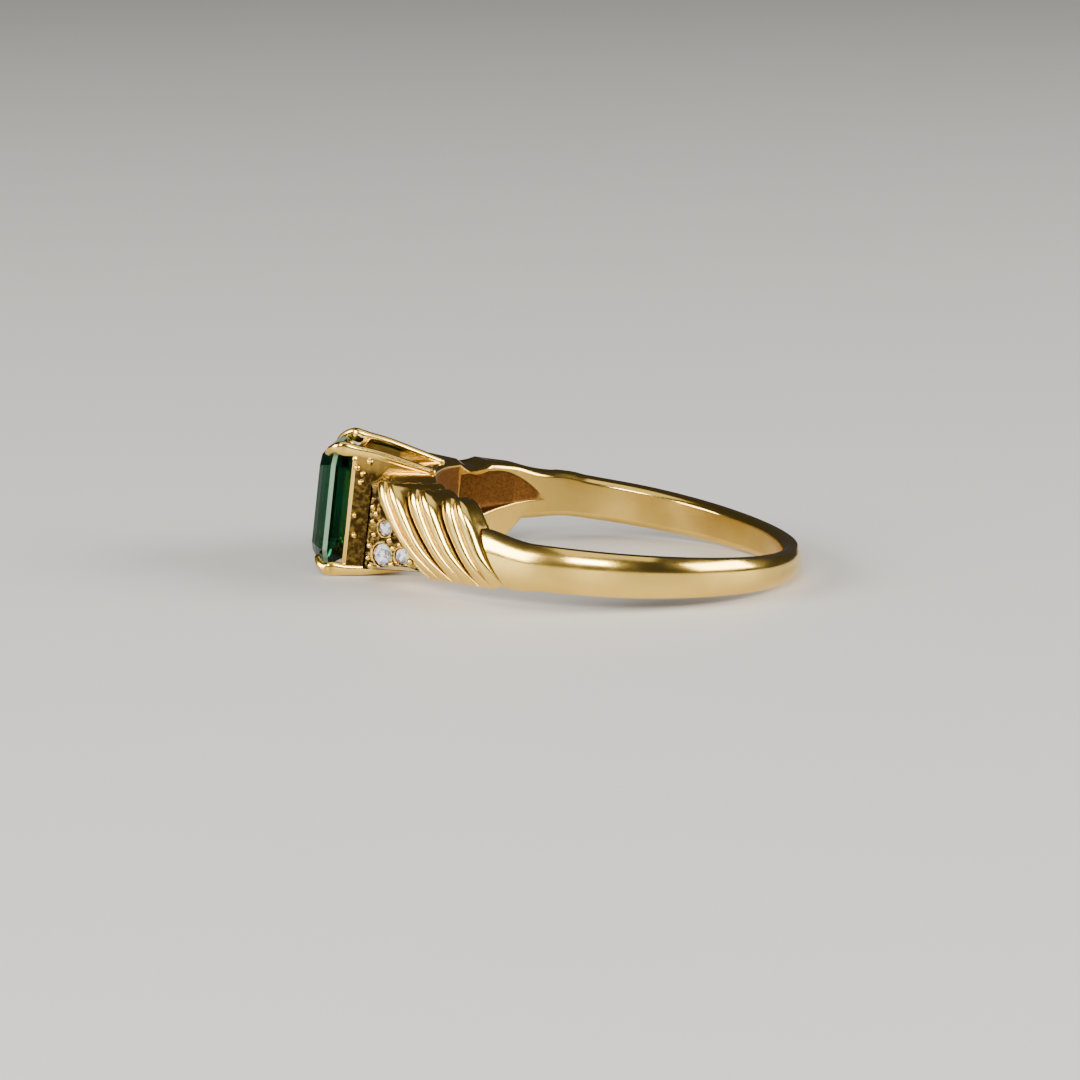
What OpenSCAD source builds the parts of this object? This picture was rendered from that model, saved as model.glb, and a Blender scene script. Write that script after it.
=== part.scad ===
// Gold ring with a step-cut tourmaline between fluted shoulders, lying on its side.
// Millimetres. The sub-parts are drawn in the ring's own frame: X runs from the head (minus)
// to the back of the band (plus), Z along the finger, and the hole is centred on the origin.
// The module resting() then lays the ring down, on two claws and the back of the band.

/* [Finger hole] */
// Diameter of the finger hole
hole_d = 17; // [16.6:0.2:17.2]

/* [Band] */
// Width of the band at its back
band_back_w = 1.5; // [1.4:0.1:1.7]
// Width of the band at its sides
band_side_w = 2.1; // [1.9:0.1:2.2]
// Thickness of the band along its flat edges
band_edge_t = 0.75; // [0.7:0.05:0.85]
// Height of the dome over the flat edges
band_dome = 0.3; // [0.2:0.05:0.35]

/* [Shoulders] */
// Height of the shoulders above the middle of the ring
shoulder_top = 2.3; // [2.1:0.1:2.4]
// Depth of the shoulders below the middle of the ring, at their tail
shoulder_tail = 1.5; // [1.4:0.05:1.6]
// Length of each shoulder along its straight outer face
shoulder_l = 7.75; // [7.6:0.05:7.9]
// Height of the flutes
flute_h = 0.55; // [0.4:0.05:0.6]
// Lobes on each shoulder, each a pair of flutes
lobes = 3; // [2:1:4]

/* [Tourmaline] */
// Length of the tourmaline, along the finger
stone_l = 6; // [5.8:0.1:6.1]
// Width of the tourmaline
stone_w = 4; // [3.8:0.1:4.1]
// Width of its cut corners, measured along a side
stone_cut = 0.9; // [0.85:0.05:1]

/* [Diamonds] */
// Diameter of the largest small stone on each shoulder
diamond_d = 1.05; // [0.9:0.05:1.1]

/* [Hidden] */

hole_r = hole_d / 2;
edge_r = hole_r + band_edge_t;
// The sections reach a little inside the hole, which is cut last.
inner_r = hole_r - 0.4;

// Where the straight shoulder leaves the round band, in degrees from the back.
join_angle = 117.5;
// The band's back, as a distance along the outer face from that place.
back_t = -join_angle * PI / 180 * edge_r;
// The groove between the last flute and the plain band, and the first flute's far edge.
groove_t = 1.75;
flutes_end_t = 7.55;
groove_w = 0.12;
// The band is widest this many degrees from its back.
widest_angle = 106;
// How far the band's middle line swings up and down: near side at the back, then near the shoulder.
swing_back = 0.2;
swing_front = 0.22;
swing_angle = 94;
dome_power = 2.4;
// Chamfer along the inner edges of the band, along the radius and along the finger.
rim = [0.24, 0.22];

// Flutes lean: the shift has a part that grows with the depth below the top, and one with its square.
lean_straight = 0.37;
lean_curved = [0.07, 0.13];
lean_fades_t = -4;
// The lobes get a little narrower towards the head.
lobe_power = 1.11;
// Depth of the grooves and of the stone field below the outer face.
floor_out = -0.12;
edge_round = 0.3;
scallop = 0.65;
dip = 0.08;
top_run = 0.68;
// The tail of the last flute runs out faster on the near shoulder than on the far one.
tail_run = [1.2, 3.6];
tail_drop = 0.36;
field_bottom = 2.2;
field_top = 1.88;
scoop = 0.3;
// The head's base is as high as the shoulders.
base_half = shoulder_top;
// The band flares a little where it meets the flutes, at its lower and upper edge.
flare = [0.12, 0.25];
flare_l = 3.2;

rows = 12;
band_cols = 30;
lobe_cols = 14;
field_cols = 4;
base_cols = 8;

// Head: distances of its base, of the girdle and of the seat rail from the hole's centre.
base_u = 11.1;
// The base's face dips between the shoulders, over this share of its width.
base_dip = 0.4;
base_bend = 1.6;
girdle_u = 13.5;
rail_u = [12.22, 12.5];
rail_half = [1.98, 2.98];
rail_w = 0.4;
// Opening under the tourmaline: its size across and along the finger, and where it ends.
light_hole = [2, 2.8];
light_hole_end = 10.8;

function clamp(x) = min(1, max(0, x));
function ease(x) = let(c = clamp(x)) c * c * (3 - 2 * c);
function quarter(x) = let(c = clamp(x)) sqrt(1 - (1 - c) * (1 - c));
function arch(x) = sqrt(max(0, 1 - (2 * x - 1) * (2 * x - 1)));
function mix(a, b, share) = a + (b - a) * share;
function half_turn(p) = [p[0], -p[1], -p[2]];
function polar(r, angle) = [r * cos(angle), -r * sin(angle)];

// A place on the near outer face: distance from the join towards the head, and height off it.
function face_angle(l) = join_angle + (l >= 0 ? atan(l / edge_r) : l / edge_r * 180 / PI);
function face_point(l, out) = l < 0
    ? polar(edge_r + out, face_angle(l))
    : polar(edge_r + out, join_angle) + l * [-sin(join_angle), -cos(join_angle)];

// Plain band: half width and middle line at an angle from the back.
function band_half(angle) = let(s = sin(min(90 * angle / widest_angle, 90)))
    mix(band_back_w, band_side_w, s * s) / 2;
function band_middle(angle) =
    (angle < swing_angle ? swing_back : swing_front) * sin(180 * angle / swing_angle);
function band_flare(t) = ease((t - groove_t) / flare_l + 1);
function band_top(t) = let(a = face_angle(min(t, 0)))
    band_middle(a) + band_half(a) + flare[1] * band_flare(t);
function band_bottom(t) = let(a = face_angle(min(t, 0)))
    band_middle(a) - band_half(a) - flare[0] * band_flare(t);

// Flutes: q counts lobes from the band, and two rounded ridges share a lobe.
function flute_t(q) = mix(groove_t, flutes_end_t, 1 - pow(1 - q / lobes, lobe_power));
function lobe_part(q) = q < lobes ? q - floor(q) : 1;
function ridge(q) = let(f = lobe_part(q), x = f < 0.5 ? 2 * f : 2 * f - 1)
    mix(arch(f), arch(x), 0.45);
function flute_top(q) = let(
        b = band_top(groove_t),
        f = lobe_part(q),
        x = f < 0.5 ? 2 * f : 2 * f - 1,
        line = shoulder_top - scallop * pow(abs(2 * f - 1), 2.5) - dip * (1 - arch(x)))
    mix(b, line, quarter((flute_t(q) - groove_t) / top_run));
function flute_bottom(q, run) =
    mix(band_bottom(groove_t), -shoulder_tail - tail_drop * q / lobes,
        ease((flute_t(q) - groove_t) / run));

// The shift of a place at height w towards the band.
function leaned(t, w) = let(
        d = shoulder_top - w,
        share = clamp((t - groove_t) / (flutes_end_t - groove_t)),
        fade = ease((t - lean_fades_t) / (groove_t - lean_fades_t)))
    t - fade * (lean_straight * d + mix(lean_curved[0], lean_curved[1], share) * d * d);

// One section of a half: the outer face from bottom to top, then the inner side with its chamfers.
function row_share(j) = (1 - cos(180 * j / rows)) / 2;
function off_middle(j) = 2 * row_share(j) - 1;
function heights(low, top) = [for (j = [0:rows]) mix(low, top, row_share(j))];
function closed_section(outer, low_angle, top_angle) = let(
        low = outer[0][2],
        top = outer[rows][2],
        inside_w = rim[1] * (hole_r + rim[0] - inner_r) / rim[0])
    concat(outer, [
        [each polar(hole_r + rim[0], top_angle), top],
        [each polar(inner_r, top_angle), top - inside_w],
        [each polar(inner_r, low_angle), low + inside_w],
        [each polar(hole_r + rim[0], low_angle), low]
    ]);
function face_section(l, w, out) = closed_section(
    [for (j = [0:rows]) [each face_point(l[j], out[j]), w[j]]],
    face_angle(l[0]), face_angle(l[rows]));
function band_section(t) = let(w = heights(band_bottom(t), band_top(t)))
    face_section([for (x = w) leaned(t, x)], w,
        [for (j = [0:rows]) band_dome * (1 - pow(abs(off_middle(j)), dome_power))]);

// The flutes keep most of their height at the top and run out at the bottom.
function flute_fade(j) = let(x = off_middle(j))
    x > 0 ? 1 - edge_round / flute_h * pow(x, 5) : 1 - pow(-x, 3);
function flute_section(q, run) = let(t = flute_t(q), w = heights(flute_bottom(q, run), flute_top(q)))
    face_section([for (x = w) leaned(t, x)], w,
        [for (j = [0:rows]) floor_out + flute_h * ridge(q) * flute_fade(j)]);
function field_low(share, run) = mix(flute_bottom(lobes, run), -field_bottom, share * share)
    + scoop * sin(180 * pow(share, 0.6));
function field_section(share, run) = let(w = heights(field_low(share, run), field_top))
    face_section([for (x = w) mix(leaned(flutes_end_t, x), shoulder_l, share)], w,
        [for (x = w) floor_out]);
function base_section(share) = let(
        a = mix(face_angle(shoulder_l), 180, share),
        rise = ease(base_bend * share),
        u = base_u - base_dip * rise,
        w = heights(-mix(field_bottom, base_half, rise), mix(field_top, base_half, rise)))
    closed_section([for (x = w) [each polar(u / cos(180 - a), a), x]], a, a);

// Half the ring, from the middle of its back to the middle of the head's base.
function half_sections(run) = concat(
    [for (i = [0:band_cols]) band_section(mix(back_t, groove_t - groove_w, i / band_cols))],
    [for (i = [0:lobes * lobe_cols]) flute_section(i / lobe_cols, run)],
    [for (i = [1:field_cols]) field_section(i / field_cols, run)],
    [for (i = [0:base_cols]) base_section(i / base_cols)]
);
near_sections = half_sections(tail_run[0]);

// The far half is turned half way round about the line from head to back.
turned_order = concat([for (j = [rows:-1:0]) j], [for (j = [rows + 4:-1:rows + 1]) j]);
function turned_section(s) = [for (j = turned_order) half_turn(s[j])];
far_half = half_sections(tail_run[1]);
far_sections = [for (i = [len(far_half) - 2:-1:1]) turned_section(far_half[i])];

// Claws: a table of places along the near upper arm, from its root to the claw's tip.
// Columns: distance from the hole's centre, sideways, height of the middle, height, thickness, lean.
arm_table = [
    [8.6, 1.5, 2.3, 0.38, 0.34, 0],
    [10.0, 1.62, 2.58, 0.48, 0.34, 0],
    [11.3, 1.76, 2.84, 0.52, 0.34, 0],
    [12.3, 1.88, 2.94, 0.58, 0.36, 0],
    [12.85, 1.93, 2.97, 0.72, 0.36, 0],
    [13.15, 2.00, 2.99, 0.66, 0.36, 0],
    [13.42, 1.95, 2.94, 0.48, 0.36, 20],
    [13.63, 1.81, 2.78, 0.40, 0.32, 45],
    [13.77, 1.62, 2.56, 0.30, 0.24, 60]
];
arm_chamfer = 0.25;
// Cheeks: thin walls on each side of the head, from the upper arm down to the lower one.
cheek_t = 0.24;
cheek_rows = [0, 1, 2, 3];

function arm_section(row) = let(
        c = [-row[0], -row[1], row[2]],
        up = [-sin(row[5]), 0, cos(row[5])],
        side = [-0.11, 0.99, 0],
        a = up * row[3] / 2,
        b = side * row[4] / 2,
        k = 1 - arm_chamfer)
    [c - a * k + b, c - a + b * k, c - a - b * k, c - a * k - b,
     c + a * k - b, c + a - b * k, c + a + b * k, c + a * k + b];
arm_sections = [for (row = arm_table) arm_section(row)];
arm_points = [for (s = arm_sections) each s];
function cheek_section(row) = [for (side = [[-1, 1], [1, 1], [1, -1], [-1, -1]])
    [-row[0], -row[1] + side[0] * cheek_t / 2, side[1] * row[2]]];

// Step-cut tourmaline: outlines from the table down to the keel.
// Columns: depth below the girdle's upper edge, inset of the sides, share of the corner kept.
cut_table = [
    [-0.65, 0.62, 0.55],
    [-0.43, 0.33, 0.76],
    [-0.22, 0.14, 0.9],
    [0, 0, 1],
    [0.22, 0, 1],
    [1, 0.46, 0.78],
    [1.4, 0.9, 0.52],
    [1.68, 1.4, 0.28],
    [1.82, 1.82, 0.08]
];
function cut_outline(row) = [
    for (p = octagon(stone_w / 2 - row[1], stone_l / 2 - row[1], stone_cut * row[2]))
        [row[0] - girdle_u, p[0], p[1]]];

// How the ring rests: the tilt that brings the band's back down to the claws' level.
claw_low = max([for (p = arm_points) p[2]]);
foot = [for (p = arm_points) if (p[2] == claw_low) p][0];
rest_t = min([for (s = near_sections, p = s) if (p[0] > 0)
    atan((claw_low - abs(p[2])) / (p[0] - foot[0]))]);
function laid_z(p) = -p[0] * sin(rest_t) + p[2] * cos(rest_t);
function laid_x(p) = p[0] * cos(rest_t) + p[2] * sin(rest_t);
low_points = concat([for (p = arm_points) half_turn(p)], cut_outline(cut_table[0]),
    [for (s = concat(near_sections, far_sections)) each s]);
rest_z = -min([for (p = low_points) laid_z(p)]);
rest_x = -(min([for (p = low_points) laid_x(p)]) + max([for (p = low_points) laid_x(p)])) / 2;

// Small stones of the near shoulder, large, middle and small: place along the face, height, share of the largest diameter.
small_stones = [
    [6.75, -1.32, 1],
    [5.6, -1.15, 0.7],
    [6.75, -0.02, 0.68]
];
// The hollow behind each shoulder: its depth leaves a wall, its edges leave thin rims.
pocket_wall = 0.85;
pocket_stations = 8;
pocket_reach = 38;
pocket_low = 1.28;
pocket_top = 1.4;
pocket_tip = 0.08;

stone_gap = 0.05;
// The small stones' girdles lie this share of a diameter below the field.
girdle_sink = 0.1;
pit_depth = 0.62;
grain_r = 0.17;
grains = [
    [7.5, 0.9], [7.3, 0.6], [7.45, 0.2], [7.3, -0.42], [6.35, -0.5], [6.1, -0.85], [5.75, -0.6],
    [7.48, -1], [7.5, -1.6], [7.3, -1.95], [6.12, -1.64], [5.05, -1.28]
];
// Grains on the cheeks, under the upper near claw: distance from the hole's centre, and height.
cheek_grains = [[12.24, 2.14], [11.93, 1.88], [11.98, 1.46], [11.64, 2.5]];
function cheek_y(u) = lookup(u, [for (row = arm_table) [row[0], row[1]]]);

module loft(sections, ring = false) {
    n = len(sections);
    k = len(sections[0]);
    last = ring ? n - 1 : n - 2;
    sides = [for (i = [0:last], j = [0:k - 1])
        let(a = i * k + j, b = i * k + (j + 1) % k,
            c = ((i + 1) % n) * k + (j + 1) % k, d = ((i + 1) % n) * k + j)
        each [[a, c, b], [a, d, c]]];
    caps = ring ? [] : concat(
        [for (j = [1:k - 2]) [0, j, j + 1]],
        [for (j = [1:k - 2]) [(n - 1) * k, (n - 1) * k + j + 1, (n - 1) * k + j]]);
    polyhedron(points = [for (s = sections) each s], faces = concat(sides, caps), convexity = 8);
}

module both_sides() {
    children();
    rotate([180, 0, 0]) children();
}

module resting() {
    translate([rest_x, 0, rest_z]) rotate([0, rest_t, 0]) children();
}

module on_face(l, w, out = 0) {
    translate([each face_point(l, out), w])
        rotate([0, 0, -join_angle]) rotate([0, 90, 0]) children();
}

module band_and_shoulders() {
    color("gold") loft(concat(near_sections, far_sections), ring = true);
}

module arm() {
    loft(arm_sections);
}

module claws() {
    color("gold") both_sides() {
        arm();
        mirror([0, 1, 0]) arm();
    }
}

module cheeks() {
    color("gold") {
        cheek();
        mirror([0, 1, 0]) cheek();
    }
}

module cheek() {
    loft([for (k = cheek_rows) cheek_section(arm_table[k])]);
}

module rail() {
    color("gold") difference() {
        translate([-rail_u[1], -rail_half[0], -rail_half[1]])
            cube([rail_u[1] - rail_u[0], 2 * rail_half[0], 2 * rail_half[1]]);
        translate([-rail_u[1] - 1, -rail_half[0] + rail_w, -rail_half[1] + rail_w])
            cube([3, 2 * (rail_half[0] - rail_w), 2 * (rail_half[1] - rail_w)]);
    }
}

module setting_grains() {
    color("gold") both_sides() {
        for (g = grains)
            on_face(g[0], g[1], floor_out) sphere(r = grain_r, $fn = 24);
        for (g = cheek_grains)
            translate([-g[0], -cheek_y(g[0]) - cheek_t / 2, g[1]]) sphere(r = grain_r, $fn = 24);
    }
}

function pocket_section(x) = let(
        a = join_angle + 1 + pocket_reach * x,
        deep = max(edge_r / cos(a - join_angle) - pocket_wall, hole_r + 0.1),
        low = -pocket_tip - pocket_low * (1 - pow(1 - min(2 * x, 1), 2)),
        top = pocket_tip + pocket_top * pow(x, 1.5))
    [[each polar(inner_r - 0.2, a), low], [each polar(deep, a), low],
     [each polar(deep, a), top], [each polar(inner_r - 0.2, a), top]];

module shoulder_pocket() {
    loft([for (i = [0:pocket_stations]) pocket_section(i / pocket_stations)]);
}

module stone_pits() {
    for (s = small_stones)
        on_face(s[0], s[1], floor_out - pit_depth)
            cylinder(h = pit_depth + 1, r = s[2] * diamond_d / 2 + stone_gap, $fn = 48);
}

module gold_ring() {
    color("gold") difference() {
        union() {
            band_and_shoulders();
            claws();
            cheeks();
            rail();
            setting_grains();
        }
        cylinder(h = 20, r = hole_r, center = true, $fn = 180);
        translate([-light_hole_end, -light_hole[0] / 2, -light_hole[1] / 2])
            cube([light_hole_end - hole_r + 1, light_hole[0], light_hole[1]]);
        both_sides() shoulder_pocket();
        both_sides() stone_pits();
    }
}

function octagon(half_v, half_w, cut) = [
    [half_v, half_w - cut], [half_v - cut, half_w], [cut - half_v, half_w], [-half_v, half_w - cut],
    [-half_v, cut - half_w], [cut - half_v, -half_w], [half_v - cut, -half_w], [half_v, cut - half_w]
];

module tourmaline() {
    color("darkgreen") loft([for (row = cut_table) cut_outline(row)]);
}

// A round cut for a unit diameter, from its point up to its eight-sided table.
// Columns: height over the girdle's upper edge, radius at the eight main corners, and between them.
brilliant_table = [
    [-0.42, 0.02, 0.02],
    [-0.03, 0.5, 0.5],
    [0, 0.5, 0.5],
    [0.09, 0.4, 0.38],
    [0.15, 0.29, 0.268]
];
brilliant_sides = 16;
function cut_ring(row) = [for (i = [0:brilliant_sides - 1])
    [each polar(row[1 + i % 2], -360 * i / brilliant_sides), row[0]]];

module small_stone(d) {
    scale(d) loft([for (row = brilliant_table) cut_ring(row)]);
}

module diamond(index) {
    s = small_stones[index];
    d = s[2] * diamond_d;
    color("aliceblue") on_face(s[0], s[1], floor_out - girdle_sink * d) small_stone(d);
}

resting() gold_ring();
resting() tourmaline();
resting() diamond(0);  // diamond_near_large
resting() diamond(1);  // diamond_near_middle
resting() diamond(2);  // diamond_near_small
resting() rotate([180, 0, 0]) diamond(0);  // diamond_far_large
resting() rotate([180, 0, 0]) diamond(1);  // diamond_far_middle
resting() rotate([180, 0, 0]) diamond(2);  // diamond_far_small
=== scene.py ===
"""Gold ring with a step-cut tourmaline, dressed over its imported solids.

Sizes are in millimetres and angles in degrees, until a mesh is made in metres. Every mesh is built in
the ring's own frame: X from the head (minus) to the back of the band (plus), Z along the finger.
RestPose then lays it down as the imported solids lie.
"""
import logging
import math
from collections.abc import Callable, Iterator, Sequence
from contextlib import contextmanager
from dataclasses import dataclass, field
from enum import Enum

import bmesh
import bpy
import numpy as np
from mathutils import Matrix, Vector


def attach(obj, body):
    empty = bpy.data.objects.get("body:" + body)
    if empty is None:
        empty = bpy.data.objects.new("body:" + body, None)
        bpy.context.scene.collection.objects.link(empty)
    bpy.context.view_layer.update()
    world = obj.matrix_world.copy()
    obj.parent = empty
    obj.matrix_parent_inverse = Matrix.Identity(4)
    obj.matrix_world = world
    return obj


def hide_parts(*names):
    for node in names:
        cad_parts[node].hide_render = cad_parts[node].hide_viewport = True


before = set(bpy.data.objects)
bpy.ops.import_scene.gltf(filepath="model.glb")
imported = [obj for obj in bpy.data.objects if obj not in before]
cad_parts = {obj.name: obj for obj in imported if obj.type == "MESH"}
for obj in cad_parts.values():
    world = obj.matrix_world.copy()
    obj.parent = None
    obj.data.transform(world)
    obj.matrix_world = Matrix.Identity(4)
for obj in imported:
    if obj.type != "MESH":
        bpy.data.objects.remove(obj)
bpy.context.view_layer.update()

log = logging.getLogger("ring")
MM = 0.001
BODY = "root"
GOLD_NODE = "gold_ring"
Number = float | np.ndarray
Triple = tuple[float, float, float]


def clamp(x: Number) -> Number:
    """Returns x kept between 0 and 1."""
    return np.clip(x, 0.0, 1.0)


def ease(x: Number) -> Number:
    """Returns a smooth step from 0 to 1."""
    c = clamp(x)
    return c * c * (3 - 2 * c)


def quarter(x: Number) -> Number:
    """Returns the height of a quarter circle that starts upright at 0 and is level at 1."""
    c = clamp(x)
    return np.sqrt(1 - (1 - c) ** 2)


def arch(x: Number) -> Number:
    """Returns the height of a half circle that stands on 0 to 1."""
    return np.sqrt(np.maximum(0.0, 1 - (2 * x - 1) ** 2))


def mix(a: Number, b: Number, share: Number) -> Number:
    """Returns the value at a share of the way from a to b."""
    return a + (b - a) * share


def squared_off(x: np.ndarray, power: float) -> np.ndarray:
    """Returns sines or cosines with their size raised to a power, which squares off a circle."""
    return np.sign(x) * np.abs(x) ** power


def cosine_steps(count: int) -> np.ndarray:
    """Returns count + 1 shares from 0 to 1, closer together at both ends."""
    return (1 - np.cos(np.pi * np.arange(count + 1) / count)) / 2


def polar(radius: Number, angle: Number) -> np.ndarray:
    """Works out places in the plane of the ring.

    Args:
        radius: Distances from the hole's centre.
        angle: Degrees from the back of the band, towards the near side.

    Returns:
        An array whose last axis holds x and y.
    """
    a = np.radians(angle)
    return np.stack(np.broadcast_arrays(radius * np.cos(a), -radius * np.sin(a)), -1)


def around_hole(radius: Number, angle: np.ndarray, height: np.ndarray) -> np.ndarray:
    """Returns points by their distance from the hole's centre, their angle and their height."""
    flat = polar(radius, angle)
    return np.concatenate([flat, np.broadcast_to(height, flat.shape[:2])[..., None]], -1)


def operator(operation: str, swapped: bool = False) -> Callable[["Sock", "Value"], "Sock"]:
    """Makes a method for Sock.

    Args:
        operation: The Math node's operation.
        swapped: Whether the other value comes first.

    Returns:
        The method, which adds a Math node on self and another value.
    """
    def method(self: "Sock", other: "Value") -> "Sock":
        """Returns the result of the operation."""
        return self.nodes.math(operation, *((other, self) if swapped else (self, other)))

    return method


class Sock:
    """A node socket in an expression: its operators add Math nodes to the tree."""

    def __init__(self, nodes: "Nodes", socket: bpy.types.NodeSocket) -> None:
        """Wraps an output socket of one tree."""
        self.nodes = nodes
        self.socket = socket

    __add__ = __radd__ = operator("ADD")
    __mul__ = __rmul__ = operator("MULTIPLY")
    __sub__, __rsub__ = operator("SUBTRACT"), operator("SUBTRACT", swapped=True)
    __truediv__, __rtruediv__ = operator("DIVIDE"), operator("DIVIDE", swapped=True)
    __pow__, __rpow__ = operator("POWER"), operator("POWER", swapped=True)
    at_least = operator("MAXIMUM")

    def __abs__(self) -> "Sock":
        """Returns self without its sign."""
        return self.nodes.math("ABSOLUTE", self)

    def out(self, name: str) -> "Sock":
        """Returns another output of the same node."""
        return Sock(self.nodes, self.nodes.find(self.socket.node.outputs, name))

    def arch(self) -> "Sock":
        """Returns the height of a half circle that stands on 0 to 1."""
        across = 2 * self - 1
        return self.nodes.math("SQRT", (1 - across * across).at_least(0.0))

    def ramp(self, low: float, high: float) -> "Sock":
        """Returns 0 below low and 1 above high, smooth between them."""
        return self.nodes.add(
            "ShaderNodeMapRange", {"interpolation_type": "SMOOTHSTEP"},
            {"Value": self, "From Min": low, "From Max": high})


Value = Sock | float


class Nodes:
    """A node tree that is being written."""

    def __init__(self, tree: bpy.types.NodeTree) -> None:
        """Starts from an existing tree."""
        self.tree = tree

    @staticmethod
    def find(sockets: bpy.types.bpy_prop_collection, key: str | int) -> bpy.types.NodeSocket:
        """Finds a socket.

        Args:
            sockets: A node's inputs or outputs.
            key: A place in the list, an identifier or a name.

        Returns:
            The socket.
        """
        if isinstance(key, int):
            return sockets[key]
        for socket in sockets:
            if socket.identifier == key:
                return socket
        return next(s for s in sockets if s.name == key and s.enabled)

    def add(
        self, kind: str, settings: dict[str, object] | None = None,
        sockets: dict[str | int, object] | None = None,
    ) -> Sock:
        """Adds one node.

        Args:
            kind: The node's type.
            settings: Its properties, set first.
            sockets: Its inputs by name, identifier or place, each a value or a Sock.

        Returns:
            Its first enabled output, or a Sock on the node's first input if it has none.
        """
        node = self.tree.nodes.new(kind)
        for name, value in (settings or {}).items():
            setattr(node, name, value)
        for key, value in (sockets or {}).items():
            target = self.find(node.inputs, key)
            if isinstance(value, Sock):
                self.tree.links.new(value.socket, target)
            else:
                target.default_value = value
        shown = [s for s in node.outputs if s.enabled]
        return Sock(self, shown[0] if shown else node.inputs[0])

    def math(self, operation: str, *values: Value) -> Sock:
        """Returns the result of a Math node on one or two Socks or numbers."""
        return self.add("ShaderNodeMath", {"operation": operation}, dict(enumerate(values)))


class LookTree(Nodes):
    """A material's tree, whose textures lie in Object coordinates."""

    def __init__(self, name: str) -> None:
        """Starts a material.

        Args:
            name: The material's name.
        """
        self.material = bpy.data.materials.new(name)
        self.material.use_nodes = True
        super().__init__(self.material.node_tree)
        self.tree.nodes.clear()
        self.place = self.add("ShaderNodeTexCoord").out("Object")

    def attribute(self, name: str) -> Sock:
        """Returns an attribute of the mesh, 0 on a mesh without it."""
        return self.add("ShaderNodeAttribute", {"attribute_name": name}).out("Fac")

    def noise(
        self, scale: float, detail: float, roughness: float = 0.5, place: Sock | None = None,
    ) -> Sock:
        """Adds a noise texture.

        Args:
            scale: Its scale, for each metre.
            detail: Its number of finer layers.
            roughness: How strong the finer layers are.
            place: Its coordinates, if not the material's own.

        Returns:
            Values about 0.5.
        """
        return self.add(
            "ShaderNodeTexNoise", None,
            {"Vector": place or self.place, "Scale": scale, "Detail": detail,
             "Roughness": roughness})

    def blend(self, a: Sock | Triple, b: Sock | Triple, share: Value) -> Sock:
        """Mixes two colours.

        Args:
            a: The colour at share 0.
            b: The colour at share 1.
            share: How far the result lies towards b.

        Returns:
            The mixed colour.
        """
        colours = {"A_Color": a, "B_Color": b}
        full = {k: (*c, 1.0) if isinstance(c, tuple) else c for k, c in colours.items()}
        return self.add(
            "ShaderNodeMix", {"data_type": "RGBA"}, {"Factor_Float": share, **full})

    def shaded(self, colour: Triple, shade: float, share: Value) -> Sock:
        """Returns a colour that is multiplied by shade where share is 1."""
        return self.blend(colour, tuple(c * shade for c in colour), share)

    def surface(self, sockets: dict[str, object]) -> Sock:
        """Returns a Principled surface."""
        return self.add("ShaderNodeBsdfPrincipled", None, sockets)

    def overlaid(self, under: Sock, over: Sock, share: Value) -> Sock:
        """Returns a surface that is covered by another to a share."""
        return self.add("ShaderNodeMixShader", None, {0: share, 1: under, 2: over})

    def finished(self, surface: Sock) -> bpy.types.Material:
        """Ends the tree with a surface and returns the material."""
        self.add("ShaderNodeOutputMaterial", None, {"Surface": surface})
        return self.material


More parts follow.
